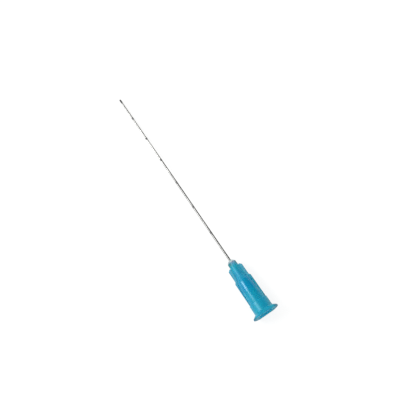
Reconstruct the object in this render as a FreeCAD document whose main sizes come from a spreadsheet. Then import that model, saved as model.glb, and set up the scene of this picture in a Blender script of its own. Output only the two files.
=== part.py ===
import FreeCAD, Part
import math
import os
import Sketcher

# Blunt tip microcannula, in millimetres.
# A steel tube with a closed round tip and one side port is glued into a moulded hub
# with two stepped fins, a tapered luer socket and two lock lugs.
# Each piece is drawn along its own X axis, with the tip end at zero and the hub behind it.
# The same placement then lays all of them on the table: the tip and the lower flat
# of the flange touch z = 0, and the middle of the length is at x = 0.

# name, value, what it measures
SIZES = [
    ("tube_dia", 0.64, "outer diameter of the tube, 23 gauge"),
    ("tube_bore", 0.40, "bore of the tube"),
    ("tip_flat", 0.04, "flat left at the very end of the round tip"),
    ("tip_wall", 0.4, "solid metal between the tip end and the bore"),
    ("port_start", 0.45, "tip end to the near end of the side port"),
    ("port_length", 1.5, "side port, end to end along the tube"),
    ("port_width", 0.36, "side port, across the tube"),
    ("free_length", 70.0, "tip end to the front of the glue"),
    ("bead_length", 0.85, "glue in front of the nose"),
    ("bead_rim_dia", 2.38, "glue where it meets the nose"),
    ("bead_round", 1.6, "radius of the swell on the glue"),
    ("well_dia", 1.6, "glue well in the nose"),
    ("well_depth", 1.25, "straight wall of the glue well"),
    ("well_cone", 0.5, "length of the cone at the bottom of the well"),
    ("bond_gap", 0.015, "radial gap between the tube and its seat in the hub"),
    ("nose_dia", 2.54, "nose of the hub"),
    ("core_rear_dia", 2.66, "core where the shoulder starts"),
    ("nose_bevel", 0.12, "bevel on the front edge of the nose"),
    ("hub_length", 16.65, "nose front to the rear face of the hub"),
    ("fin_setback", 1.44, "nose front to the front of the fins"),
    ("fin_front_length", 3.83, "narrow stage of the fins"),
    ("fin_step_length", 0.5, "slope between the two stages of the fins"),
    ("fin_front_dia", 4.38, "across the narrow stage of the fins"),
    ("fin_rear_dia", 5.1, "across the wide stage of the fins"),
    ("fin_corner", 0.5, "bevel on the front corners of the fins"),
    ("fin_thick", 0.8, "thickness of a fin"),
    ("fin_round", 0.12, "rounding along the outer edges of the fins"),
    ("fin_count", 2, "fins around the core"),
    ("shoulder_setback", 4.5, "nose front to the foot of the shoulder"),
    ("shoulder_length", 1.7, "steep cone from the core up to the neck"),
    ("neck_dia", 3.92, "front of the neck"),
    ("neck_length", 2.75, "gentler cone from the shoulder up to the barrel"),
    ("barrel_front_dia", 4.46, "front of the barrel"),
    ("barrel_rear_dia", 4.76, "barrel where it meets the collar"),
    ("collar_length", 3.92, "collar and flange, back to the rear face"),
    ("collar_bevel", 0.16, "slope of the collar's front edge"),
    ("collar_dia", 5.42, "round collar in front of the flange"),
    ("flange_root", 1.08, "thickness of the flange at the collar"),
    ("lug_tip", 0.38, "thickness of the lugs at their ends"),
    ("lug_span", 7.6, "across the two lock lugs"),
    ("flat_span", 6.1, "across the flats above and below"),
    ("lug_round", 0.14, "rounding at the ends of the lugs"),
    ("root_round", 0.18, "fillet between the collar and the flange"),
    ("mouth_dia", 4.3, "mouth of the luer socket"),
    ("mouth_bevel", 0.12, "bevel at the mouth"),
    ("luer_taper", 0.06, "loss of diameter for each millimetre of depth"),
    ("socket_depth", 7.8, "tapered wall of the socket"),
    ("funnel_length", 1.4, "funnel from the socket down to the tube"),
    ("throat_dia", 0.9, "bottom of the funnel"),
]

# name, how it follows from the sizes above
DERIVED = [
    ("tube_radius", "tube_dia / 2"),
    ("bore_radius", "tube_bore / 2"),
    ("tip_round", "(tube_dia - tip_flat) / 2"),
    ("port_radius", "port_width / 2"),
    ("port_near", "port_start + port_radius"),
    ("port_far", "port_start + port_length - port_radius"),
    ("nose_front", "free_length + bead_length"),
    ("bead_radius", "bead_rim_dia / 2"),
    ("well_radius", "well_dia / 2"),
    ("well_floor", "nose_front + well_depth"),
    ("well_end", "well_floor + well_cone"),
    ("seat_radius", "tube_radius + bond_gap"),
    ("nose_radius", "nose_dia / 2"),
    ("core_rear_radius", "core_rear_dia / 2"),
    ("nose_edge_x", "nose_front + nose_bevel"),
    ("nose_edge_radius", "nose_radius - nose_bevel"),
    ("hub_rear", "nose_front + hub_length"),
    ("fin_front", "nose_front + fin_setback"),
    ("fin_corner_x", "fin_front + fin_corner"),
    ("fin_step_front", "fin_front + fin_front_length"),
    ("fin_step_rear", "fin_step_front + fin_step_length"),
    ("fin_front_radius", "fin_front_dia / 2"),
    ("fin_corner_radius", "fin_front_radius - fin_corner"),
    ("fin_rear_radius", "fin_rear_dia / 2"),
    ("shoulder_front", "nose_front + shoulder_setback"),
    ("neck_front", "shoulder_front + shoulder_length"),
    ("neck_radius", "neck_dia / 2"),
    ("barrel_front", "neck_front + neck_length"),
    ("barrel_front_radius", "barrel_front_dia / 2"),
    ("barrel_rear_radius", "barrel_rear_dia / 2"),
    ("collar_front", "hub_rear - collar_length"),
    ("collar_edge_x", "collar_front + collar_bevel"),
    ("collar_radius", "collar_dia / 2"),
    ("flange_front", "hub_rear - flange_root"),
    ("lug_front", "hub_rear - lug_tip"),
    ("lug_radius", "lug_span / 2"),
    ("flat_height", "flat_span / 2"),
    ("mouth_radius", "mouth_dia / 2"),
    ("mouth_edge_x", "hub_rear - mouth_bevel"),
    ("mouth_edge_radius", "mouth_radius + mouth_bevel"),
    ("socket_end", "hub_rear - socket_depth"),
    ("socket_end_radius", "mouth_radius - luer_taper * (socket_depth - mouth_bevel) / 2"),
    ("throat_radius", "throat_dia / 2"),
    ("tube_end", "socket_end - funnel_length"),
    ("flank_slope", "(flange_root - lug_tip) / (lug_radius - collar_radius)"),
    ("flat_edge_x", "flange_front + flank_slope * (flat_height - collar_radius)"),
    ("rest_run", "flat_edge_x - tip_round"),
    ("rest_drop", "flat_height - tube_radius + tip_round"),
    ("rest_reach", "sqrt(rest_run * rest_run + rest_drop * rest_drop)"),
    ("rest_tilt", "atan(rest_drop / rest_run) - asin(tip_round / rest_reach)"),
    ("axis_height", "tip_round * (1 - sin(rest_tilt)) + tip_flat / 2 * cos(rest_tilt)"),
    ("rear_reach", "hub_rear * cos(rest_tilt) + flat_height * sin(rest_tilt)"),
    ("tip_reach", "tip_round * (1 - cos(rest_tilt)) + tip_flat / 2 * sin(rest_tilt)"),
    ("mid_length", "(rear_reach - tip_reach) / 2"),
]

NEAR = 1e-4


def fill_sheet(doc):
    """Write every size and every derived value into one spreadsheet, each under its own name."""
    sheet = doc.addObject("Spreadsheet::Sheet", "sizes")
    rows = [(name, str(value), note) for name, value, note in SIZES]
    rows += [(name, "=" + formula, "") for name, formula in DERIVED]
    for row, (name, content, note) in enumerate(rows, start=1):
        sheet.set(f"A{row}", name)
        sheet.set(f"B{row}", content)
        sheet.setAlias(f"B{row}", name)
        sheet.set(f"C{row}", note)
    doc.recompute()
    return sheet


def size(sheet, name):
    """One named value of the sheet as a plain number. None stands for zero."""
    if name is None:
        return 0.0
    return float(getattr(sheet, name))


def new_body(doc, label):
    """An empty body that lies on the table as the whole cannula does."""
    body = doc.addObject("PartDesign::Body", label)
    body.Label = label
    body.Placement = FreeCAD.Placement(
        FreeCAD.Vector(0, 0, 0), FreeCAD.Rotation(FreeCAD.Vector(0, -1, 0), 1)
    )
    body.setExpression("Placement.Rotation.Angle", "sizes.rest_tilt")
    body.setExpression("Placement.Base.x", "-sizes.mid_length")
    body.setExpression("Placement.Base.z", "sizes.axis_height")
    return body


def origin_plane(body, role):
    """One of the body's own origin planes."""
    return next(item for item in body.Origin.OriginFeatures if item.Role == role)


def new_sketch(body, name, role):
    """A sketch on one of the body's own origin planes."""
    sketch = body.newObject("Sketcher::SketchObject", name)
    sketch.AttachmentSupport = [(origin_plane(body, role), "")]
    sketch.MapMode = "FlatFace"
    return sketch


def arc_between(start, end, radius):
    """The arc of a radius from start to end, swelling to the left of the way from one to the other."""
    middle = (start + end) * 0.5
    half = (end - start).Length / 2
    along = (end - start).normalize()
    left = FreeCAD.Vector(-along.y, along.x, 0)
    rise = radius - math.sqrt(max(radius * radius - half * half, 0.0))
    return Part.Arc(start, middle + left * rise, end)


def draw_outline(sheet, sketch, corners, arcs=None):
    """Draw a closed outline. Each corner is held by two named sizes, with None on an axis.

    arcs names the radius of each side that is an arc, under the number of its first corner.
    """
    arcs = arcs or {}
    points = [FreeCAD.Vector(size(sheet, x), size(sheet, y), 0) for x, y in corners]
    count = len(corners)
    for i in range(count):
        start, end = points[i], points[(i + 1) % count]
        if i in arcs:
            sketch.addGeometry(arc_between(start, end, size(sheet, arcs[i])), False)
        else:
            sketch.addGeometry(Part.LineSegment(start, end), False)
    # An arc runs anticlockwise in its sketch, so one that swells to the left of its way
    # has its ends the other way round.
    first = [2 if i in arcs else 1 for i in range(count)]
    last = [1 if i in arcs else 2 for i in range(count)]
    for i in range(count):
        after = (i + 1) % count
        sketch.addConstraint(Sketcher.Constraint("Coincident", i, last[i], after, first[after]))
    for i, (x, y) in enumerate(corners):
        if x is None:
            sketch.addConstraint(Sketcher.Constraint("PointOnObject", i, first[i], -2))
        else:
            hold(sheet, sketch, "DistanceX", i, first[i], x)
        if y is None:
            sketch.addConstraint(Sketcher.Constraint("PointOnObject", i, first[i], -1))
        else:
            hold(sheet, sketch, "DistanceY", i, first[i], y)
    for i, radius in arcs.items():
        index = sketch.addConstraint(Sketcher.Constraint("Radius", i, size(sheet, radius)))
        sketch.setExpression(f"Constraints[{index}]", f"sizes.{radius}")


def hold(sheet, sketch, kind, side, end, name):
    """Hold one end of a side at a named distance from the origin."""
    index = sketch.addConstraint(Sketcher.Constraint(kind, -1, 1, side, end, size(sheet, name)))
    sketch.setExpression(f"Constraints[{index}]", f"sizes.{name}")


def turn(body, kind, name, sketch):
    """Revolve or groove a sketch all round the cannula's axis."""
    feature = body.newObject(kind, name)
    feature.Profile = sketch
    feature.ReferenceAxis = (sketch, ["H_Axis"])
    feature.Angle = 360
    return feature


def round_edges(doc, body, name, base, radius, wanted):
    """Round the edges of the base feature that the test picks out."""
    doc.recompute()
    found = [f"Edge{i}" for i, edge in enumerate(base.Shape.Edges, start=1) if wanted(edge)]
    if not found:
        raise RuntimeError(f"{name} found no edge")
    feature = body.newObject("PartDesign::Fillet", name)
    feature.Base = (base, found)
    feature.setExpression("Radius", f"sizes.{radius}")
    return feature


def is_circle(edge, x, radius):
    """True for a round edge of this radius that lies square to the axis at x."""
    curve = edge.Curve
    if not isinstance(curve, Part.Circle):
        return False
    return abs(curve.Center.x - x) < NEAR and abs(curve.Radius - radius) < NEAR


def is_fin_edge(edge, height, clear):
    """True for a straight edge at this height over a fin's middle plane, well out from the core."""
    if not isinstance(edge.Curve, Part.Line):
        return False
    ends = [vertex.Point for vertex in edge.Vertexes]
    if any(abs(abs(end.z) - height) > NEAR or abs(end.y) < clear - NEAR for end in ends):
        return False
    return abs(ends[0].z - ends[1].z) < NEAR


def make_tube(doc, sheet):
    """Thin steel tube, closed and round at the tip, with a long oval port on its upper side."""
    body = new_body(doc, "cannula_tube")

    wall = new_sketch(body, "tube_wall_profile", "XZ_Plane")
    draw_outline(sheet, wall, [
        (None, None),
        (None, "tube_radius"),
        ("tube_end", "tube_radius"),
        ("tube_end", "bore_radius"),
        ("tip_wall", "bore_radius"),
        ("tip_wall", None),
    ])
    solid = turn(body, "PartDesign::Revolution", "tube_wall", wall)

    tube_radius = size(sheet, "tube_radius")
    tip = round_edges(
        doc, body, "tip_rounding", solid, "tip_round",
        lambda edge: is_circle(edge, 0, tube_radius),
    )

    slot = new_sketch(body, "port_outline", "XY_Plane")
    draw_slot(sheet, slot)
    port = body.newObject("PartDesign::Pocket", "side_port")
    port.Profile = slot
    port.Type = "ThroughAll"
    port.Reversed = True
    return body, [solid, tip, port]


def draw_slot(sheet, sketch):
    """Long oval on the axis: two half circles joined by straight sides."""
    near = FreeCAD.Vector(size(sheet, "port_near"), 0, 0)
    far = FreeCAD.Vector(size(sheet, "port_far"), 0, 0)
    radius = size(sheet, "port_radius")
    up = FreeCAD.Vector(0, radius, 0)
    axis = FreeCAD.Vector(0, 0, 1)
    quarter = math.pi / 2
    sketch.addGeometry(Part.ArcOfCircle(Part.Circle(near, axis, radius), quarter, 3 * quarter), False)
    sketch.addGeometry(Part.ArcOfCircle(Part.Circle(far, axis, radius), -quarter, quarter), False)
    sketch.addGeometry(Part.LineSegment(near - up, far - up), False)
    sketch.addGeometry(Part.LineSegment(far + up, near + up), False)
    for one, end, other, start in [(0, 2, 2, 1), (2, 2, 1, 1), (1, 2, 3, 1), (3, 2, 0, 1)]:
        sketch.addConstraint(Sketcher.Constraint("Tangent", one, end, other, start))
    for arc, name in [(0, "port_near"), (1, "port_far")]:
        sketch.addConstraint(Sketcher.Constraint("PointOnObject", arc, 3, -1))
        hold(sheet, sketch, "DistanceX", arc, 3, name)
    index = sketch.addConstraint(Sketcher.Constraint("Radius", 0, radius))
    sketch.setExpression(f"Constraints[{index}]", "sizes.port_radius")


def make_glue(doc, sheet):
    """Cured glue: it fills the well in the nose and swells out round the tube in front of it."""
    body = new_body(doc, "glue_bead")
    profile = new_sketch(body, "glue_profile", "XZ_Plane")
    draw_outline(
        sheet, profile,
        [
            ("free_length", "tube_radius"),
            ("nose_front", "bead_radius"),
            ("nose_front", "well_radius"),
            ("well_floor", "well_radius"),
            ("well_end", "tube_radius"),
        ],
        arcs={0: "bead_round"},
    )
    return body, [turn(body, "PartDesign::Revolution", "glue", profile)]


def make_hub(doc, sheet):
    """Moulded hub: core, two stepped fins, shoulder, neck, barrel, collar, flange and socket."""
    body = new_body(doc, "hub")

    outside = new_sketch(body, "hub_outer_profile", "XZ_Plane")
    draw_outline(sheet, outside, [
        ("nose_front", None),
        ("nose_front", "nose_edge_radius"),
        ("nose_edge_x", "nose_radius"),
        ("shoulder_front", "core_rear_radius"),
        ("neck_front", "neck_radius"),
        ("barrel_front", "barrel_front_radius"),
        ("collar_front", "barrel_rear_radius"),
        ("collar_edge_x", "collar_radius"),
        ("flange_front", "collar_radius"),
        ("lug_front", "lug_radius"),
        ("hub_rear", "lug_radius"),
        ("hub_rear", None),
    ])
    solid = turn(body, "PartDesign::Revolution", "hub_outside", outside)

    collar_radius = size(sheet, "collar_radius")
    flange_front = size(sheet, "flange_front")
    root = round_edges(
        doc, body, "flange_root_fillet", solid, "root_round",
        lambda edge: is_circle(edge, flange_front, collar_radius),
    )

    lug_radius = size(sheet, "lug_radius")
    lug_ends = (size(sheet, "lug_front"), size(sheet, "hub_rear"))
    lugs = round_edges(
        doc, body, "lug_rounding", root, "lug_round",
        lambda edge: any(is_circle(edge, x, lug_radius) for x in lug_ends),
    )

    above = new_sketch(body, "flat_outline", "YZ_Plane")
    draw_flat_cut(sheet, above)
    upper_flat = body.newObject("PartDesign::Pocket", "upper_flat")
    upper_flat.Profile = above
    upper_flat.Type = "ThroughAll"
    upper_flat.Reversed = True
    lower_flat = body.newObject("PartDesign::Mirrored", "lower_flat")
    lower_flat.Originals = [upper_flat]
    lower_flat.MirrorPlane = (origin_plane(body, "XY_Plane"), [""])
    body.Tip = lower_flat

    web = new_sketch(body, "fin_outline", "XY_Plane")
    draw_outline(sheet, web, [
        ("fin_front", None),
        ("fin_front", "fin_corner_radius"),
        ("fin_corner_x", "fin_front_radius"),
        ("fin_step_front", "fin_front_radius"),
        ("fin_step_rear", "fin_rear_radius"),
        ("collar_edge_x", "fin_rear_radius"),
        ("collar_edge_x", None),
    ])
    fin = body.newObject("PartDesign::Pad", "fin")
    fin.Profile = web
    fin.SideType = "Symmetric"
    fin.setExpression("Length", "sizes.fin_thick")
    fins = body.newObject("PartDesign::PolarPattern", "fins")
    fins.Originals = [fin]
    fins.Axis = (web, ["H_Axis"])
    fins.Angle = 360
    fins.setExpression("Occurrences", "sizes.fin_count")
    body.Tip = fins

    # The long outer edges of each fin, above and below, from its front corner to the collar.
    half_thick = size(sheet, "fin_thick") / 2
    clear_of_core = size(sheet, "fin_corner_radius")
    fin_edges = round_edges(
        doc, body, "fin_rounding", fins, "fin_round",
        lambda edge: is_fin_edge(edge, half_thick, clear_of_core),
    )

    inside = new_sketch(body, "hub_inner_profile", "XZ_Plane")
    draw_outline(sheet, inside, [
        ("nose_front", None),
        ("nose_front", "well_radius"),
        ("well_floor", "well_radius"),
        ("well_end", "seat_radius"),
        ("tube_end", "seat_radius"),
        ("tube_end", "throat_radius"),
        ("socket_end", "socket_end_radius"),
        ("mouth_edge_x", "mouth_radius"),
        ("hub_rear", "mouth_edge_radius"),
        ("hub_rear", None),
    ])
    socket = turn(body, "PartDesign::Groove", "luer_socket", inside)
    return body, [solid, root, lugs, upper_flat, lower_flat, fins, fin_edges, socket]


def draw_flat_cut(sheet, sketch):
    """Rectangle above the upper flat, wider and higher than the flange."""
    reach = 2 * size(sheet, "lug_radius")
    low = size(sheet, "flat_height")
    corners = [(-reach, low), (reach, low), (reach, reach), (-reach, reach)]
    for i in range(4):
        start, end = corners[i], corners[(i + 1) % 4]
        sketch.addGeometry(Part.LineSegment(FreeCAD.Vector(*start, 0), FreeCAD.Vector(*end, 0)), False)
    for i in range(4):
        sketch.addConstraint(Sketcher.Constraint("Coincident", i, 2, (i + 1) % 4, 1))
    sketch.addConstraint(Sketcher.Constraint("Symmetric", 0, 1, 0, 2, -2))
    sketch.addConstraint(Sketcher.Constraint("Vertical", 1))
    sketch.addConstraint(Sketcher.Constraint("Horizontal", 2))
    sketch.addConstraint(Sketcher.Constraint("Vertical", 3))
    hold(sheet, sketch, "DistanceY", 0, 1, "flat_height")
    hold(sheet, sketch, "DistanceY", 2, 1, "lug_span")
    hold(sheet, sketch, "DistanceX", 1, 1, "lug_span")


def check_pieces(doc, pieces):
    """Stop if an object failed, a piece isn't one valid solid, or a feature changed nothing."""
    for item in doc.Objects:
        if "Invalid" in item.State or "Error" in item.State:
            raise RuntimeError(f"{item.Name} failed: {item.State}")
    for body, steps in pieces:
        shape = body.Shape
        if shape.isNull() or not shape.isValid() or len(shape.Solids) != 1:
            raise RuntimeError(f"{body.Label} isn't one valid solid")
        volumes = [step.Shape.Volume for step in steps]
        for step, before, after in zip(steps[1:], volumes, volumes[1:]):
            if abs(after - before) < NEAR:
                raise RuntimeError(f"{step.Name} changed nothing")


def main():
    doc = FreeCAD.newDocument("microcannula")
    sheet = fill_sheet(doc)
    pieces = [make_tube(doc, sheet), make_glue(doc, sheet), make_hub(doc, sheet)]
    doc.recompute()
    check_pieces(doc, pieces)
    os.makedirs("parts", exist_ok=True)
    for body, _ in pieces:
        body.Shape.exportStep(f"parts/{body.Label}.step")
        box = body.Shape.BoundBox
        print(f"{body.Label}: {body.Shape.Volume:.3f} mm3, x {box.XMin:.3f} {box.XMax:.3f}, "
              f"y {box.YMin:.3f} {box.YMax:.3f}, z {box.ZMin:.3f} {box.ZMax:.3f}")
    print(f"tilt {sheet.rest_tilt}, axis height {sheet.axis_height}")


main()
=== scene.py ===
import math

import bmesh
import bpy
from mathutils import Matrix, Vector


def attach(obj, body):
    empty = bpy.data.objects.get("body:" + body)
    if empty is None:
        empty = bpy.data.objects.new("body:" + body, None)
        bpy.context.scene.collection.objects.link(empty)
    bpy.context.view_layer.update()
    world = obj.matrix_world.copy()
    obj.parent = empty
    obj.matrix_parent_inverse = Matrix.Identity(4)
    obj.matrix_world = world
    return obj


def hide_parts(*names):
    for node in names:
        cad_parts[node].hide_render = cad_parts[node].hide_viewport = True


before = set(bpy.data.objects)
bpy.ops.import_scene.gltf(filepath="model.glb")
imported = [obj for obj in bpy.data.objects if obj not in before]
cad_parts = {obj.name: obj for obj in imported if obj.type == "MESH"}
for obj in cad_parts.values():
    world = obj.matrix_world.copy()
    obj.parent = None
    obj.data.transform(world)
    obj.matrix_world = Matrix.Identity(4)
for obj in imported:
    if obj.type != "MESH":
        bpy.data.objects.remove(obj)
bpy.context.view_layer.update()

# Blunt tip microcannula: a steel tube with depth rings and a side port, glued into a moulded hub.
# Each piece is modelled in millimetres along the X axis, tip end at zero, and is then laid
# down on the table at its true size, exactly where its CAD solid lies.

MM = 0.001
NEAR = 1e-3
SMOOTH_ANGLE = math.radians(28)
ROUND_STEPS = 3

# Tube
FREE_LENGTH = 70.0
TUBE_RADIUS = 0.32
BORE_RADIUS = 0.2
TIP_FLAT_RADIUS = 0.02
TIP_ROUND = TUBE_RADIUS - TIP_FLAT_RADIUS
TIP_STEPS = 8
TIP_WALL = 0.4
TUBE_SIDES = 48
TUBE_RINGS = (3.0, 40.0)
PORT_START = 0.45
PORT_LENGTH = 1.5
PORT_RADIUS = 0.18
PORT_SIDES = 32

# Depth rings on the tube
RING_STEP = 10.0
RING_COUNT = 6
RING_HALF = 0.36
RING_SOFT = 0.15
# A weaker dark band on the tube just before the glue
BAND_BEFORE_GLUE = FREE_LENGTH - 0.85
BAND_BEFORE_GLUE_STRENGTH = 0.5

# Glue
GLUE_FRONT = FREE_LENGTH
GLUE_LENGTH = 0.85
GLUE_RIM_RADIUS = 1.19
GLUE_ROUND = 1.6
GLUE_STEPS = 12
GLUE_SIDES = 64
GLUE_HOLE = TUBE_RADIUS - 0.002
GLUE_GAP = 0.01

# Hub, outside. The sizes along it are counted from the front of the nose or from the rear face.
NOSE_FRONT = FREE_LENGTH + GLUE_LENGTH
HUB_REAR = NOSE_FRONT + 16.65
HUB_SIDES = 96
POLE = 0.02
NOSE_RADIUS = 1.27
NOSE_ROUND = 0.12
SHOULDER_FRONT = NOSE_FRONT + 4.5
CORE_REAR_RADIUS = 1.33
NECK_FRONT = SHOULDER_FRONT + 1.7
NECK_RADIUS = 1.96
CONE_ROUND = 0.3
BARREL_FRONT = NECK_FRONT + 2.75
BARREL_FRONT_RADIUS = 2.23
BARREL_REAR_RADIUS = 2.38
BARREL_ROUND = 0.5
COLLAR_FRONT = HUB_REAR - 3.92
COLLAR_EDGE = COLLAR_FRONT + 0.16
COLLAR_RADIUS = 2.71
COLLAR_ROUND = 0.06

# Flange with its two lugs. The fine rim stays just inside the coarser one of the CAD solid.
FLANGE_ROOT = 1.08
FLANGE_FRONT = HUB_REAR - FLANGE_ROOT
LUG_TIP = 0.38
LUG_FRONT = HUB_REAR - LUG_TIP
LUG_RADIUS = 3.8
LUG_RIM = LUG_RADIUS - 0.004
LUG_ROUND = 0.13
ROOT_ROUND = 0.14
FLAT_HEIGHT = 3.05
FLAT_EASE = 0.1
FLAT_HALF_LENGTH = 2.08
FLAT_CORNER_LEAN = 0.33

# Fins
FIN_FRONT = NOSE_FRONT + 1.44
FIN_STEP_FRONT = FIN_FRONT + 3.83
FIN_STEP_REAR = FIN_STEP_FRONT + 0.5
FIN_FRONT_RADIUS = 2.19
FIN_REAR_RADIUS = 2.55
FIN_CORNER = 0.5
FIN_THICK = 0.8
FIN_ROUND = 0.12
FIN_ROOT = 0.9

# Hub, inside
WELL_RADIUS = 0.8
WELL_FLOOR = NOSE_FRONT + 1.25
WELL_END = WELL_FLOOR + 0.5
SEAT_RADIUS = TUBE_RADIUS + 0.015
MOUTH_RADIUS = 2.15
MOUTH_BEVEL = 0.12
LUER_TAPER = 0.06
SOCKET_DEPTH = 7.8
SOCKET_END = HUB_REAR - SOCKET_DEPTH
SOCKET_END_RADIUS = MOUTH_RADIUS - LUER_TAPER * (SOCKET_DEPTH - MOUTH_BEVEL) / 2
SOCKET_ROUND = 0.3
THROAT_RADIUS = 0.45
TUBE_END = SOCKET_END - 1.4
PIN_SPARE = 0.3

HUB_WALL = [
    (NOSE_FRONT, NOSE_RADIUS), (SHOULDER_FRONT, CORE_REAR_RADIUS), (NECK_FRONT, NECK_RADIUS),
    (BARREL_FRONT, BARREL_FRONT_RADIUS), (COLLAR_FRONT, BARREL_REAR_RADIUS),
    (COLLAR_EDGE, COLLAR_RADIUS), (FLANGE_FRONT, COLLAR_RADIUS), (LUG_FRONT, LUG_RIM),
]
ROUNDED_RINGS = [
    (NOSE_FRONT, NOSE_RADIUS, NOSE_ROUND),
    (SHOULDER_FRONT, CORE_REAR_RADIUS, CONE_ROUND),
    (NECK_FRONT, NECK_RADIUS, CONE_ROUND),
    (BARREL_FRONT, BARREL_FRONT_RADIUS, BARREL_ROUND),
    (COLLAR_EDGE, COLLAR_RADIUS, COLLAR_ROUND),
    (FLANGE_FRONT, COLLAR_RADIUS, ROOT_ROUND),
    (LUG_FRONT, LUG_RIM, LUG_ROUND),
    (HUB_REAR, LUG_RIM, LUG_ROUND),
]

# How it lies: the round tip and the front edge of the lower flat touch the table.
FLANK_SLOPE = (FLANGE_ROOT - LUG_TIP) / (LUG_RADIUS - COLLAR_RADIUS)
REST_RUN = FLANGE_FRONT + FLANK_SLOPE * (FLAT_HEIGHT - COLLAR_RADIUS) - TIP_ROUND
REST_DROP = FLAT_HEIGHT - TUBE_RADIUS + TIP_ROUND
REST_TILT = math.atan(REST_DROP / REST_RUN) - math.asin(TIP_ROUND / math.hypot(REST_RUN, REST_DROP))
AXIS_HEIGHT = TIP_ROUND * (1 - math.sin(REST_TILT)) + TIP_FLAT_RADIUS * math.cos(REST_TILT)
REAR_REACH = HUB_REAR * math.cos(REST_TILT) + FLAT_HEIGHT * math.sin(REST_TILT)
TIP_REACH = TIP_ROUND * (1 - math.cos(REST_TILT)) + TIP_FLAT_RADIUS * math.sin(REST_TILT)
MID_LENGTH = (REAR_REACH - TIP_REACH) / 2

# The middle stretch of a noise, where most of its values lie
NOISE_MIDDLE = (0.3, 0.7)
NOISE_STEEP = (0.35, 0.65)

# How well the rounded normal agrees with the true one, where wear starts and where it is full
SHARP_EDGE = (0.995, 0.9)

# Steel: streaks towards the hub, plain and paler towards the tip
STEEL = (0.5, 0.5, 0.49, 1)
STEEL_DARK_STREAK = (0.2, 0.2, 0.2, 1)
STEEL_LIGHT_STREAK = (0.38, 0.38, 0.37, 1)
STEEL_PALE = (0.66, 0.66, 0.645, 1)
STEEL_RUBBED = (0.85, 0.85, 0.83, 1)
STEEL_TIP_DARK = (0.33, 0.33, 0.33, 1)
RING_GREY = (0.18, 0.18, 0.18, 1)
PALE_END = 20.0
STREAKS_START = 42.0
TIP_DARK_START = 1.4
TIP_DARK_END = 2.4
STEEL_ROUGHNESS = (0.22, 0.36)
RING_ROUGHNESS = 0.5

# Glue: cloudy, shaded on one side, with a mauve tinge where it meets the nose
GLUE_WHITE = (0.7, 0.76, 0.73, 1)
GLUE_DARK_CLOUD = (0.45, 0.65, 0.64, 1)
GLUE_LIGHT_CLOUD = (0.58, 0.78, 0.79, 1)
GLUE_SHADED = (0.26, 0.38, 0.45, 1)
GLUE_MAUVE = (0.62, 0.6, 0.68, 1)
GLUE_TINGE = 0.25
GLUE_SHADE = (-0.1, -0.8)
GLUE_ROUGHNESS = (0.16, 0.32)

# Hub plastic: each colour shows how much light comes through the wall at that place
HUB_BLUE = (0.003, 0.29, 0.47, 1)
BODY_DEEP = (0.001, 0.25, 0.46, 1)
BODY_GREENER = (0.002, 0.325, 0.445, 1)
CREASE_PAINTED_LIGHT = (0.006, 0.45, 0.6, 1)
FIN_PAINTED_LIGHT = (0.075, 0.38, 0.52, 1)
FIN_EDGE_SHADE = (0.015, 0.19, 0.27, 1)
NOSE_TOP = (0.07, 0.33, 0.48, 1)
NOSE_SIDE_SHADE = (0.012, 0.19, 0.23, 1)
WELL_VIOLET = (0.2, 0.32, 0.45, 1)
LUG_SHADE = (0.003, 0.17, 0.26, 1)
SOCKET_PAINTED_LIGHT = (0.03, 0.52, 0.74, 1)
HUB_RUBBED = (0.03, 0.3, 0.42, 1)
DEEP_MIDDLE = NECK_FRONT - 0.25
CLOUD_SHARE = 0.4
GREENER_SHARE = 0.6
WIDE_FIN_SHARE = 0.4
FIN_EDGE_SHARE = 0.75
FADE = 0.3
SATIN_CORE = 0.2
SATIN_BARREL = 0.14
SATIN_FLANGE = 0.16
HUB_ROUGHNESS = (0.14, 0.22)

# Where each tone of the hub starts and where it is full
DEEP_REACH = (2.0, 4.5)
CREASE_HEIGHTS = (1.0, 0.5)
CREASE_SIDES = (0.3, 0.9)
PAST_WALL = (-0.02, 0.16)
FIN_EDGE_BAND = (-0.24, -0.08)
NOSE_FAR_SIDE = (0.7, 1.0)
NOSE_NEAR_SIDE = (-0.1, -0.5)
VIOLET_DEPTHS = (0.3, 0.7)
NOSE_DEPTHS = (0.7, 1.5)
LUG_REACH = (2.4, 3.5)
SOCKET_WALL = (MOUTH_RADIUS + 0.09, MOUTH_RADIUS + 0.01)

# Studio, in metres
WHITE = (1, 1, 1, 1)
TABLE_SIZE = 2.4
TABLE_GREY = (0.8, 0.8, 0.8, 1)
TABLE_IN_GLOSS = (0.95, 0.95, 0.95, 1)
TABLE_TO_CAMERA = (0.22, 0.22, 0.22, 1)
TABLE_GLOW = 0.82
CEILING_GREY = (0.03, 0.03, 0.03, 1)
CEILING_WIDTH = 1.8
CEILING_HEIGHT = 0.5
CEILING_NEAR = -0.16
CEILING_FAR = 1.5
WORLD_FILL = 0.78
LAMP_DIRECTION = (-0.43, -0.56, 0.63)
LAMP_TARGET = (0.03, 0, 0.003)
LAMP_DISTANCE = 0.5
LAMP_SIDE = 0.22
LAMP_POWER = 1.2
SENSOR_WIDTH = 36
LENS = 35.334
CAMERA_PLACE = (0.055139, -0.003862, 0.11552)
CAMERA_DEGREES = (20.077, 9.08, 57.291)


def deselect_all():
    for thing in bpy.context.selected_objects:
        thing.select_set(False)


def pick_only(piece):
    """Make the piece the active one and the only one selected."""
    deselect_all()
    piece.select_set(True)
    bpy.context.view_layer.objects.active = piece


def open_for_editing(piece):
    """Go into edit mode with this piece alone."""
    pick_only(piece)
    bpy.ops.object.mode_set(mode="EDIT")


def close_editing():
    bpy.ops.object.mode_set(mode="OBJECT")


def pick_edges(piece, wanted):
    """Select the edges whose two ends pass the test."""
    bpy.ops.mesh.select_all(action="DESELECT")
    bpy.ops.mesh.select_mode(type="EDGE")
    mesh = bmesh.from_edit_mesh(piece.data)
    for edge in mesh.edges:
        edge.select_set(wanted(*[corner.co for corner in edge.verts]))
    bmesh.update_edit_mesh(piece.data)


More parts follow.
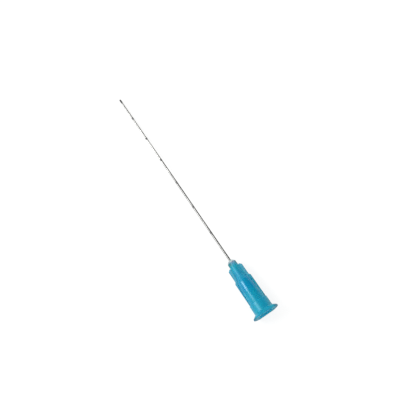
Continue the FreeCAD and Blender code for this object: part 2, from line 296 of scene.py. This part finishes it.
def pick_corners(piece, wanted):
    """Select the corners that pass the test."""
    bpy.ops.mesh.select_all(action="DESELECT")
    bpy.ops.mesh.select_mode(type="VERT")
    mesh = bmesh.from_edit_mesh(piece.data)
    for corner in mesh.verts:
        corner.select_set(wanted(corner.co))
    mesh.select_flush(True)
    bmesh.update_edit_mesh(piece.data)


def pick_ring(piece, x, radius):
    """Select the turned edge, the ring at x with this radius."""
    def on_ring(place):
        return abs(place.x - x) < NEAR and abs(math.hypot(place.y, place.z) - radius) < NEAR

    pick_edges(piece, lambda a, b: on_ring(a) and on_ring(b))


def round_ring(piece, x, radius, width, steps=ROUND_STEPS):
    """Round one turned edge."""
    pick_ring(piece, x, radius)
    bpy.ops.mesh.bevel(offset=width, segments=steps, affect="EDGES")


def turn(name, outline, sides):
    """Turn an outline of (x, radius) round the axis, ring by ring. Stays in edit mode."""
    (x, radius), *others = outline
    deselect_all()
    bpy.ops.mesh.primitive_circle_add(
        vertices=sides, radius=radius, location=(x, 0, 0), rotation=(0, math.pi / 2, 0)
    )
    piece = bpy.context.object
    piece.name = piece.data.name = name
    bpy.ops.object.transform_apply(location=True, rotation=True, scale=True)
    bpy.ops.object.mode_set(mode="EDIT")
    bpy.ops.mesh.select_all(action="SELECT")
    for next_x, next_radius in others:
        bpy.ops.mesh.extrude_region_move(TRANSFORM_OT_translate={"value": (next_x - x, 0, 0)})
        grow = next_radius / radius
        bpy.ops.transform.resize(value=(1, grow, grow), center_override=(next_x, 0, 0))
        x, radius = next_x, next_radius
    return piece


def close_ends(piece, *rings):
    """Fill each of these open rings, given by place along the axis and radius."""
    for x, radius in rings:
        pick_ring(piece, x, radius)
        bpy.ops.mesh.edge_face_add()


def join_seam():
    """Merge doubled corners and turn every face outwards."""
    bpy.ops.mesh.select_all(action="SELECT")
    bpy.ops.mesh.remove_doubles(threshold=NEAR / 10)
    bpy.ops.mesh.normals_make_consistent(inside=False)


def slice_off(place, outwards):
    """Cut all that lies beyond a plane off the piece in hand, and close the cut."""
    bpy.ops.mesh.select_all(action="SELECT")
    bpy.ops.mesh.bisect(
        plane_co=place, plane_no=outwards, use_fill=True, clear_outer=True, threshold=NEAR / 10,
    )


def combine(piece, tool, operation):
    """Join a tool shape to the piece, or cut it out of it, and delete the tool."""
    pick_only(piece)
    cut = piece.modifiers.new(operation.lower(), "BOOLEAN")
    cut.operation = operation
    cut.solver = "EXACT"
    cut.object = tool
    bpy.ops.object.modifier_apply(modifier=cut.name)
    bpy.data.objects.remove(tool)


def lay_down(piece, node):
    """Bring a piece to true size, lay it where its CAD node lies and let it ride there."""
    pick_only(piece)
    bpy.ops.object.shade_smooth_by_angle(angle=SMOOTH_ANGLE)
    piece.scale = (MM, MM, MM)
    piece.rotation_euler = (0, -REST_TILT, 0)
    piece.location = (-MID_LENGTH * MM, 0, AXIS_HEIGHT * MM)
    bpy.ops.object.transform_apply(location=True, rotation=True, scale=True)
    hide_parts(node)
    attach(piece, "root")


def make_tube():
    """Drawn steel tube with a round closed tip, its bore and the long oval port on its upper side."""
    outside = [(x, TUBE_RADIUS) for x in (0, TIP_ROUND * 2, *TUBE_RINGS, TUBE_END)]
    inside = [(x, BORE_RADIUS) for x in (TUBE_END, *reversed(TUBE_RINGS), TIP_WALL)]
    tube = turn("steel_tube", outside + inside, TUBE_SIDES)
    close_ends(tube, (0, TUBE_RADIUS), (TIP_WALL, BORE_RADIUS))
    join_seam()
    round_ring(tube, 0, TUBE_RADIUS, TIP_ROUND, TIP_STEPS)
    close_editing()
    combine(tube, make_port_cutter(), "DIFFERENCE")
    lay_down(tube, "cannula_tube")
    return tube


def make_port_cutter():
    """Upright long oval, from the tube's axis to well above the tube."""
    near = PORT_START + PORT_RADIUS
    far = PORT_START + PORT_LENGTH - PORT_RADIUS
    deselect_all()
    bpy.ops.mesh.primitive_circle_add(
        vertices=PORT_SIDES, radius=PORT_RADIUS, fill_type="NGON", location=(near, 0, 0)
    )
    cutter = bpy.context.object
    cutter.name = "port_cutter"
    bpy.ops.object.transform_apply(location=True, rotation=True, scale=True)
    open_for_editing(cutter)
    pick_corners(cutter, lambda place: place.x > near + NEAR)
    bpy.ops.transform.translate(value=(far - near, 0, 0))
    bpy.ops.mesh.select_all(action="SELECT")
    bpy.ops.mesh.extrude_region_move(TRANSFORM_OT_translate={"value": (0, 0, 2 * TUBE_RADIUS)})
    join_seam()
    close_editing()
    return cutter


def glue_swell():
    """The arc of the glue, from the tube back to its widest ring, as steps of (x, radius)."""
    run, rise = GLUE_LENGTH, GLUE_RIM_RADIUS - TUBE_RADIUS
    half = math.hypot(run, rise) / 2
    to_centre = math.sqrt(GLUE_ROUND ** 2 - half ** 2)
    centre_x = run / 2 + to_centre * rise / (2 * half)
    centre_radius = TUBE_RADIUS + rise / 2 - to_centre * run / (2 * half)
    first = math.atan2(TUBE_RADIUS - centre_radius, -centre_x)
    last = math.atan2(GLUE_RIM_RADIUS - centre_radius, run - centre_x)
    turns = [first + (last - first) * step / GLUE_STEPS for step in range(GLUE_STEPS + 1)]
    return [
        (GLUE_FRONT + centre_x + GLUE_ROUND * math.cos(a), centre_radius + GLUE_ROUND * math.sin(a))
        for a in turns
    ]


def make_glue():
    """Cured glue: it creeps up the tube, swells in front of the nose and fills the well behind it."""
    outline = [
        (GLUE_FRONT, GLUE_HOLE), *glue_swell(),
        (NOSE_FRONT, WELL_RADIUS - GLUE_GAP), (WELL_FLOOR, WELL_RADIUS - GLUE_GAP),
        (WELL_END - 2 * GLUE_GAP, GLUE_HOLE), (GLUE_FRONT, GLUE_HOLE),
    ]
    glue = turn("glue_bead_cured", outline, GLUE_SIDES)
    join_seam()
    close_editing()
    lay_down(glue, "glue_bead")
    return glue


def make_hub():
    """Moulded hub: the turned outside, two flats, two fins, and the core pin's shape taken out."""
    outline = [(NOSE_FRONT, POLE), *HUB_WALL, (HUB_REAR, LUG_RIM), (HUB_REAR, POLE)]
    hub = turn("moulded_hub", outline, HUB_SIDES)
    close_ends(hub, (NOSE_FRONT, POLE), (HUB_REAR, POLE))
    join_seam()
    for x, radius, width in ROUNDED_RINGS:
        round_ring(hub, x, radius, width)
    cut_flats()
    close_editing()
    for side in (1, -1):
        combine(hub, make_fin(side), "UNION")
    combine(hub, make_core_pin(), "DIFFERENCE")
    lay_down(hub, "hub")
    return hub


def cut_flats():
    """Cut the flange flat above and below, and take the sharpness off the edges of the cut."""
    for side in (1, -1):
        slice_off((0, 0, side * FLAT_HEIGHT), (0, 0, side))
        slice_off((HUB_REAR, 0, side * (FLAT_HEIGHT - FLAT_EASE)), (1, 0, side))
        for end in (1, -1):
            corner = (0, end * FLAT_HALF_LENGTH, side * FLAT_HEIGHT)
            slice_off(corner, (0, end * FLAT_CORNER_LEAN, side))


def make_fin(side):
    """One fin: its outline in the plane of the table, thickened, with its outer edges rounded."""
    outline = [
        (FIN_FRONT, FIN_ROOT), (FIN_FRONT, FIN_FRONT_RADIUS - FIN_CORNER),
        (FIN_FRONT + FIN_CORNER, FIN_FRONT_RADIUS), (FIN_STEP_FRONT, FIN_FRONT_RADIUS),
        (FIN_STEP_REAR, FIN_REAR_RADIUS), (COLLAR_EDGE, FIN_REAR_RADIUS), (COLLAR_EDGE, FIN_ROOT),
    ]
    deselect_all()
    bpy.ops.mesh.primitive_circle_add(vertices=len(outline), radius=1, fill_type="NGON")
    fin = bpy.context.object
    fin.name = "fin"
    open_for_editing(fin)
    mesh = bmesh.from_edit_mesh(fin.data)
    for corner, (x, y) in zip(mesh.verts, outline):
        corner.co = (x, side * y, -FIN_THICK / 2)
    bmesh.update_edit_mesh(fin.data)
    bpy.ops.mesh.select_all(action="SELECT")
    bpy.ops.mesh.extrude_region_move(TRANSFORM_OT_translate={"value": (0, 0, FIN_THICK)})
    join_seam()
    beyond_root = FIN_ROOT + NEAR
    pick_edges(
        fin, lambda a, b: abs(a.z - b.z) < NEAR and min(a.y * side, b.y * side) > beyond_root
    )
    bpy.ops.mesh.bevel(offset=FIN_ROUND, segments=ROUND_STEPS, affect="EDGES")
    close_editing()
    return fin


def make_core_pin():
    """The inside of the hub: glue well, seat of the tube, funnel and tapered luer socket."""
    pin_front = (NOSE_FRONT - PIN_SPARE, WELL_RADIUS)
    pin_rear = (HUB_REAR + PIN_SPARE, MOUTH_RADIUS + MOUTH_BEVEL + PIN_SPARE)
    outline = [
        pin_front, (WELL_FLOOR, WELL_RADIUS), (WELL_END, SEAT_RADIUS),
        (TUBE_END, SEAT_RADIUS), (TUBE_END, THROAT_RADIUS), (SOCKET_END, SOCKET_END_RADIUS),
        (HUB_REAR - MOUTH_BEVEL, MOUTH_RADIUS), pin_rear,
    ]
    pin = turn("core_pin", outline, HUB_SIDES)
    close_ends(pin, pin_front, pin_rear)
    join_seam()
    round_ring(pin, SOCKET_END, SOCKET_END_RADIUS, SOCKET_ROUND)
    close_editing()
    return pin


def set_input(tree, socket, value):
    """Give a socket a plain value, or link it to another node's output."""
    if isinstance(value, bpy.types.NodeSocket):
        tree.links.new(value, socket)
    else:
        socket.default_value = value


def wire(tree, kind, inputs=None, **settings):
    """Add a node. Each input is a plain value or another node's output."""
    node = tree.nodes.new(kind)
    for name, value in settings.items():
        setattr(node, name, value)
    for name, value in (inputs or {}).items():
        set_input(tree, node.inputs[name], value)
    return node


def calculate(tree, operation, *values):
    """A Math node's result."""
    return wire(tree, "ShaderNodeMath", dict(enumerate(values)), operation=operation).outputs[0]


def distance_between(tree, value, place):
    """How far the value lies from a place, either way."""
    return calculate(tree, "ABSOLUTE", calculate(tree, "SUBTRACT", value, place))


def ramp(tree, value, low, high, start=0.0, end=1.0, kind="SMOOTHSTEP"):
    """A step of the value from low to high, soft or straight, which runs from start to end."""
    inputs = {"Value": value, "From Min": low, "From Max": high, "To Min": start, "To Max": end}
    return wire(tree, "ShaderNodeMapRange", inputs, interpolation_type=kind).outputs["Result"]


def blend_colours(tree, factor, first, second):
    """From the first colour to the second as the factor goes from 0 to 1."""
    node = wire(tree, "ShaderNodeMix", {"Factor": factor}, data_type="RGBA")
    for name, value in (("A", first), ("B", second)):
        socket = next(s for s in node.inputs if s.name == name and s.type == "RGBA")
        set_input(tree, socket, value)
    return next(s for s in node.outputs if s.type == "RGBA")


def bumped(tree, shader, height, strength, distance):
    """Let a height field move the surface's normal by this distance in millimetres."""
    inputs = {"Strength": strength, "Distance": distance * MM, "Height": height}
    bump = wire(tree, "ShaderNodeBump", inputs)
    tree.links.new(bump.outputs["Normal"], shader.inputs["Normal"])


def new_group(name, inputs, outputs):
    """An empty shader node group with named inputs and outputs."""
    group = bpy.data.node_groups.new(name, "ShaderNodeTree")
    for label, kind, default in inputs:
        socket = group.interface.new_socket(name=label, in_out="INPUT", socket_type=kind)
        if default is not None:
            socket.default_value = default
    for label in outputs:
        group.interface.new_socket(name=label, in_out="OUTPUT", socket_type="NodeSocketFloat")
    return group, group.nodes.new("NodeGroupInput"), group.nodes.new("NodeGroupOutput")


def place_group(tree, group, inputs):
    """Put a node group in a material, each input a plain value or another node's output."""
    node = tree.nodes.new("ShaderNodeGroup")
    node.node_tree = group
    for name, value in inputs.items():
        set_input(tree, node.inputs[name], value)
    return node


def new_material(name, base, **plain):
    """A material with its Principled shader. The plain values are the same all over the piece."""
    made = bpy.data.materials.new(name)
    made.use_nodes = True
    made.diffuse_color = base
    shader = made.node_tree.nodes["Principled BSDF"]
    shader.inputs["Base Color"].default_value = base
    for label, value in plain.items():
        shader.inputs[label.replace("_", " ")].default_value = value
    return made, made.node_tree, shader


def finish_with(piece, made):
    """Give the piece this material all over."""
    piece.data.materials.clear()
    piece.data.materials.append(made)


def along_cannula(tree):
    """Millimetres in the cannula's own frame: the spot, and its X along the tube, Y and Z up."""
    lift = Vector((-MID_LENGTH, 0, AXIS_HEIGHT))
    back = Matrix.Rotation(REST_TILT, 3, "Y")
    inputs = {
        "Vector": wire(tree, "ShaderNodeTexCoord").outputs["Object"],
        "Location": -(back @ lift), "Rotation": (0, REST_TILT, 0),
        "Scale": (1 / MM, 1 / MM, 1 / MM),
    }
    spot = wire(tree, "ShaderNodeMapping", inputs, vector_type="POINT").outputs["Vector"]
    axes = wire(tree, "ShaderNodeSeparateXYZ", {"Vector": spot}).outputs
    return spot, axes["X"], axes["Y"], axes["Z"]


def make_grain_group():
    """Fine uneven surface: a height for the bump and a slow mottle for colour and roughness."""
    group, given, made = new_group(
        "surface_grain",
        [("Place", "NodeSocketVector", None), ("Grain", "NodeSocketFloat", 8.0),
         ("Mottle", "NodeSocketFloat", 1.0), ("Stretch", "NodeSocketFloat", 1.0)],
        ["Height", "Mottling"],
    )
    squeeze = wire(group, "ShaderNodeCombineXYZ", {"X": given.outputs["Stretch"], "Y": 1.0, "Z": 1.0})
    place = wire(
        group, "ShaderNodeVectorMath", {0: given.outputs["Place"], 1: squeeze.outputs[0]},
        operation="MULTIPLY",
    ).outputs[0]
    fine = wire(group, "ShaderNodeTexNoise", {
        "Vector": place, "Scale": given.outputs["Grain"], "Detail": 4.0, "Roughness": 0.55,
    })
    slow = wire(group, "ShaderNodeTexNoise", {
        "Vector": place, "Scale": given.outputs["Mottle"], "Detail": 2.0, "Roughness": 0.5,
    })
    group.links.new(fine.outputs["Fac"], made.inputs["Height"])
    group.links.new(slow.outputs["Fac"], made.inputs["Mottling"])
    return group


def make_wear_group():
    """Handling wear on the edges: where the rounded normal leaves the true one."""
    group, given, made = new_group(
        "edge_wear",
        [("Place", "NodeSocketVector", None), ("Reach", "NodeSocketFloat", 0.0001),
         ("Amount", "NodeSocketFloat", 1.0)],
        ["Worn"],
    )
    rounded = wire(group, "ShaderNodeBevel", {"Radius": given.outputs["Reach"]}, samples=4)
    true = wire(group, "ShaderNodeNewGeometry").outputs["Normal"]
    agreement = wire(
        group, "ShaderNodeVectorMath", {0: rounded.outputs[0], 1: true}, operation="DOT_PRODUCT"
    ).outputs["Value"]
    edge = ramp(group, agreement, *SHARP_EDGE)
    spots = wire(group, "ShaderNodeTexNoise", {
        "Vector": given.outputs["Place"], "Scale": 3.0, "Detail": 3.0,
    })
    broken = ramp(group, spots.outputs["Fac"], *NOISE_STEEP)
    patchy = calculate(group, "MULTIPLY", edge, broken)
    worn = calculate(group, "MULTIPLY", patchy, given.outputs["Amount"])
    group.links.new(worn, made.inputs["Worn"])
    return group


def depth_rings(tree, x):
    """1 on the rings at every step of the scale, and less on a dark band just before the glue."""
    to_ring = calculate(tree, "PINGPONG", x, RING_STEP / 2)
    scale = calculate(
        tree, "MULTIPLY",
        calculate(tree, "GREATER_THAN", x, RING_STEP / 2),
        calculate(tree, "LESS_THAN", x, (RING_COUNT + 0.5) * RING_STEP),
    )
    band = ramp(tree, to_ring, RING_HALF, RING_HALF + RING_SOFT, 1.0, 0.0)
    rings = calculate(tree, "MULTIPLY", band, scale)
    to_band_before_glue = distance_between(tree, x, BAND_BEFORE_GLUE)
    last = ramp(tree, to_band_before_glue, RING_HALF, RING_HALF + RING_SOFT, BAND_BEFORE_GLUE_STRENGTH, 0.0)
    return calculate(tree, "MAXIMUM", rings, last)


def drawn_steel(grain, wear):
    """Drawn stainless steel: streaks along the tube, dark depth rings, a bright rubbed port edge."""
    made, tree, shader = new_material("drawn_steel", STEEL, Metallic=1.0, Roughness=0.3)
    place, x, _, _ = along_cannula(tree)
    ring = depth_rings(tree, x)
    streaks = place_group(tree, grain, {"Place": place, "Grain": 14.0, "Mottle": 3.0, "Stretch": 0.03})
    worn = place_group(tree, wear, {"Place": place, "Reach": 0.04 * MM, "Amount": 0.8})

    steel = blend_colours(tree, streaks.outputs["Mottling"], STEEL_DARK_STREAK, STEEL_LIGHT_STREAK)
    pale = blend_colours(tree, ramp(tree, x, PALE_END, STREAKS_START), STEEL_PALE, steel)
    bright = blend_colours(tree, worn.outputs["Worn"], pale, STEEL_RUBBED)
    marked = blend_colours(tree, ring, bright, RING_GREY)
    # Darker at the round tip, fading out just past the port
    near_tip = ramp(tree, x, TIP_DARK_START, TIP_DARK_END, 1.0, 0.0)
    tip_darkened = blend_colours(tree, near_tip, marked, STEEL_TIP_DARK)
    tree.links.new(tip_darkened, shader.inputs["Base Color"])

    rough = ramp(tree, streaks.outputs["Height"], *NOISE_MIDDLE, *STEEL_ROUGHNESS)
    dull = calculate(tree, "MAXIMUM", rough, calculate(tree, "MULTIPLY", ring, RING_ROUGHNESS))
    tree.links.new(dull, shader.inputs["Roughness"])
    bumped(tree, shader, streaks.outputs["Height"], 0.15, 0.01)
    return made


def cloudy_glue(grain):
    """Cured glue: cloudy, off-white with a green cast, a mauve tinge where it meets the nose."""
    made, tree, shader = new_material(
        "cloudy_glue", GLUE_WHITE, Roughness=0.22, IOR=1.5, Transmission_Weight=0.25, Coat_Weight=0.2,
    )
    place, x, y, _ = along_cannula(tree)
    grains = place_group(tree, grain, {"Place": place, "Grain": 6.0, "Mottle": 2.2, "Stretch": 1.0})
    cloud = blend_colours(tree, grains.outputs["Mottling"], GLUE_DARK_CLOUD, GLUE_LIGHT_CLOUD)
    # Painted shade on the glue's -y side
    shaded = blend_colours(tree, ramp(tree, y, *GLUE_SHADE), cloud, GLUE_SHADED)
    at_nose = ramp(tree, x, NOSE_FRONT - GLUE_TINGE, NOSE_FRONT)
    tinted = blend_colours(tree, at_nose, shaded, GLUE_MAUVE)
    tree.links.new(tinted, shader.inputs["Base Color"])
    rough = ramp(tree, grains.outputs["Mottling"], *NOISE_MIDDLE, *GLUE_ROUGHNESS)
    tree.links.new(rough, shader.inputs["Roughness"])
    bumped(tree, shader, grains.outputs["Height"], 0.25, 0.03)
    return made


def body_colour(tree, x, mottling):
    """Deep blue round the foot of the neck, a little greener away from there and in slow clouds."""
    cloud = ramp(tree, mottling, *NOISE_STEEP, 0.0, CLOUD_SHARE)
    from_middle = distance_between(tree, x, DEEP_MIDDLE)
    away = ramp(tree, from_middle, *DEEP_REACH, 0.0, GREENER_SHARE)
    return blend_colours(tree, calculate(tree, "ADD", cloud, away), BODY_DEEP, BODY_GREENER)


def add_crease_glow(tree, colour, x, y, z):
    """Painted light where the far fin meets the core, lifting the shade in that crease."""
    by_fin = ramp(tree, calculate(tree, "ABSOLUTE", z), *CREASE_HEIGHTS)
    far_side = calculate(tree, "MULTIPLY", by_fin, ramp(tree, y, *CREASE_SIDES))
    along_fin = calculate(
        tree, "MULTIPLY",
        ramp(tree, x, FIN_FRONT - FADE, FIN_FRONT + FADE),
        ramp(tree, x, COLLAR_FRONT, COLLAR_FRONT - 1),
    )
    # Painted light in the crease beside the far fin
    return blend_colours(tree, calculate(tree, "MULTIPLY", far_side, along_fin), colour, CREASE_PAINTED_LIGHT)


def add_fin_colours(tree, colour, x, out, sideways):
    """The thin fins are painted paler than the body, as light coming through them, and their outer edges
    darker, as painted shade.
    """
    past_wall = calculate(tree, "SUBTRACT", out, NOSE_RADIUS)
    for (x0, r0), (x1, r1) in zip(HUB_WALL, HUB_WALL[1:]):
        step = ramp(tree, x, x0, x1, 0, r1 - r0, "LINEAR")
        past_wall = calculate(tree, "SUBTRACT", past_wall, step)
    thinner = ramp(tree, x, FIN_STEP_REAR, BARREL_FRONT, 1.0, WIDE_FIN_SHARE)
    in_fin = calculate(tree, "MULTIPLY", ramp(tree, past_wall, *PAST_WALL), thinner)
    # Painted light coming through the thin fins
    finned = blend_colours(tree, in_fin, colour, FIN_PAINTED_LIGHT)

    # Painted shade along the fins' outer edges
    stages = (FIN_STEP_FRONT, FIN_STEP_REAR, FIN_FRONT_RADIUS, FIN_REAR_RADIUS)
    to_edge = calculate(tree, "SUBTRACT", sideways, ramp(tree, x, *stages, "LINEAR"))
    before_collar = ramp(tree, x, COLLAR_FRONT - 0.2, COLLAR_FRONT, FIN_EDGE_SHARE, 0.0)
    edge_shade = calculate(tree, "MULTIPLY", ramp(tree, to_edge, *FIN_EDGE_BAND), before_collar)
    return blend_colours(tree, edge_shade, finned, FIN_EDGE_SHADE)


def add_nose_colours(tree, colour, x, y):
    """The nose gets a painted shade on its flanks beside the tube, and is violet on top where the glue
    shines through.
    """
    behind_nose = calculate(tree, "SUBTRACT", x, NOSE_FRONT)
    # Painted shade on the nose's flanks, starting nearer the middle on the -y side
    side_shade = calculate(
        tree, "MAXIMUM", ramp(tree, y, *NOSE_FAR_SIDE), ramp(tree, y, *NOSE_NEAR_SIDE)
    )
    nose = blend_colours(tree, side_shade, NOSE_TOP, NOSE_SIDE_SHADE)
    over_well = blend_colours(tree, ramp(tree, behind_nose, *NOSE_DEPTHS), nose, colour)
    past_violet = calculate(tree, "MAXIMUM", ramp(tree, behind_nose, *VIOLET_DEPTHS), side_shade)
    return blend_colours(tree, past_violet, WELL_VIOLET, over_well)


def hub_roughness(tree, x, mottling):
    """Smooth, with a satin finish on the core, towards the collar and on the flange."""
    smooth = ramp(tree, mottling, *NOISE_MIDDLE, *HUB_ROUGHNESS)
    satin_core = ramp(tree, x, NECK_FRONT - 1, NECK_FRONT, SATIN_CORE, 0)
    satin_barrel = ramp(tree, x, BARREL_FRONT - 0.5, COLLAR_EDGE, 0, SATIN_BARREL)
    satin_flange = ramp(tree, x, FLANGE_FRONT, LUG_FRONT, 0, SATIN_FLANGE)
    satin = calculate(tree, "ADD", calculate(tree, "ADD", satin_core, satin_barrel), satin_flange)
    return calculate(tree, "ADD", smooth, satin)


def translucent_hub_plastic(grain, wear):
    """Translucent blue polypropylene: deep in the body, paler in the thin fins and by the glue."""
    made, tree, shader = new_material(
        "translucent_hub_plastic", HUB_BLUE, Roughness=0.18, IOR=1.49,
        Specular_IOR_Level=0.5, Specular_Tint=(0.6, 0.92, 1, 1), Subsurface_Weight=0.4,
        Subsurface_Radius=(0.2, 0.9, 1.2), Subsurface_Scale=MM,
    )
    place, x, y, z = along_cannula(tree)
    sideways = calculate(tree, "ABSOLUTE", y)
    square = calculate(tree, "ADD", calculate(tree, "MULTIPLY", y, y), calculate(tree, "MULTIPLY", z, z))
    out = calculate(tree, "SQRT", square)
    grains = place_group(tree, grain, {"Place": place, "Grain": 5.0, "Mottle": 0.35, "Stretch": 0.5})
    worn = place_group(tree, wear, {"Place": place, "Reach": 0.08 * MM, "Amount": 0.35})

    colour = body_colour(tree, x, grains.outputs["Mottling"])
    colour = add_crease_glow(tree, colour, x, y, z)
    colour = add_fin_colours(tree, colour, x, out, sideways)
    colour = add_nose_colours(tree, colour, x, y)
    # Painted shade towards the ends of the lugs
    colour = blend_colours(tree, ramp(tree, sideways, *LUG_REACH), colour, LUG_SHADE)
    # Painted light on the inside wall of the luer socket
    in_socket = calculate(
        tree, "MULTIPLY",
        ramp(tree, out, *SOCKET_WALL),
        ramp(tree, x, SOCKET_END, SOCKET_END + 1),
    )
    colour = blend_colours(tree, in_socket, colour, SOCKET_PAINTED_LIGHT)
    colour = blend_colours(tree, worn.outputs["Worn"], colour, HUB_RUBBED)
    tree.links.new(colour, shader.inputs["Base Color"])
    rough = hub_roughness(tree, x, grains.outputs["Mottling"])
    tree.links.new(rough, shader.inputs["Roughness"])
    bumped(tree, shader, grains.outputs["Height"], 0.07, 0.02)
    return made


def white_rays(tree):
    """1 for rays that come straight from the camera, or by way of gloss or glass."""
    path = wire(tree, "ShaderNodeLightPath").outputs
    glossy = calculate(tree, "MAXIMUM", path["Is Camera Ray"], path["Is Glossy Ray"])
    return calculate(tree, "MAXIMUM", glossy, path["Is Transmission Ray"])


def make_table():
    """Plain white table. It shows white to the camera and in reflections, and keeps a faint shadow."""
    deselect_all()
    bpy.ops.mesh.primitive_plane_add(size=TABLE_SIZE)
    table = bpy.context.object
    table.name = "studio_table"
    made, tree, shader = new_material(
        "pale_table", TABLE_GREY, Roughness=0.9, Specular_IOR_Level=0.0, Emission_Color=WHITE,
    )
    seen = wire(tree, "ShaderNodeLightPath").outputs["Is Camera Ray"]
    reflected = blend_colours(tree, white_rays(tree), TABLE_GREY, TABLE_IN_GLOSS)
    shown = blend_colours(tree, seen, reflected, TABLE_TO_CAMERA)
    tree.links.new(shown, shader.inputs["Base Color"])
    glow = calculate(tree, "MULTIPLY", seen, TABLE_GLOW)
    tree.links.new(glow, shader.inputs["Emission Strength"])
    finish_with(table, made)


def make_dark_ceiling():
    """Dark ceiling over the camera, which only reflections show. It stops short of the lamp's side."""
    deselect_all()
    bpy.ops.mesh.primitive_plane_add(size=1)
    ceiling = bpy.context.object
    ceiling.name = "dark_ceiling"
    open_for_editing(ceiling)
    bpy.ops.mesh.select_all(action="SELECT")
    reach = CEILING_FAR - CEILING_NEAR
    middle = (CEILING_FAR + CEILING_NEAR) / 2
    bpy.ops.transform.resize(value=(CEILING_WIDTH, reach, 1), center_override=(0, 0, 0))
    bpy.ops.transform.translate(value=(0, middle, CEILING_HEIGHT))
    close_editing()
    made, _, _ = new_material("dark_ceiling", CEILING_GREY, Roughness=1.0)
    finish_with(ceiling, made)
    ceiling.visible_camera = False
    ceiling.visible_diffuse = False
    ceiling.visible_transmission = False
    ceiling.visible_shadow = False


def make_world():
    """Even studio fill that shows white behind the object."""
    world = bpy.data.worlds.new("studio")
    world.use_nodes = True
    bpy.context.scene.world = world
    tree = world.node_tree
    background = tree.nodes["Background"]
    background.inputs["Color"].default_value = WHITE
    strength = calculate(tree, "MAXIMUM", white_rays(tree), WORLD_FILL)
    tree.links.new(strength, background.inputs["Strength"])


def make_softbox():
    """Square soft lamp that faces the hub from the tip's side."""
    light = bpy.data.lights.new("key_softbox", "AREA")
    light.shape = "SQUARE"
    light.size = LAMP_SIDE
    light.energy = LAMP_POWER
    lamp = bpy.data.objects.new("key_softbox", light)
    towards = Vector(LAMP_DIRECTION).normalized()
    lamp.location = Vector(LAMP_TARGET) + towards * LAMP_DISTANCE
    lamp.rotation_euler = towards.to_track_quat("Z", "Y").to_euler()
    bpy.context.scene.collection.objects.link(lamp)


def make_camera():
    """The camera over the hub, with the tube running away from it to the tip."""
    view = bpy.data.cameras.new("camera")
    view.sensor_width = SENSOR_WIDTH
    view.lens = LENS
    view.clip_start = MM
    camera = bpy.data.objects.new("camera", view)
    camera.location = CAMERA_PLACE
    camera.rotation_euler = [math.radians(angle) for angle in CAMERA_DEGREES]
    bpy.context.scene.collection.objects.link(camera)
    bpy.context.scene.camera = camera


make_camera()
bpy.context.scene.view_settings.view_transform = "Standard"
make_table()
make_dark_ceiling()
make_world()
make_softbox()

grain_group = make_grain_group()
wear_group = make_wear_group()
finish_with(make_tube(), drawn_steel(grain_group, wear_group))
finish_with(make_glue(), cloudy_glue(grain_group))
finish_with(make_hub(), translucent_hub_plastic(grain_group, wear_group))

deselect_all()
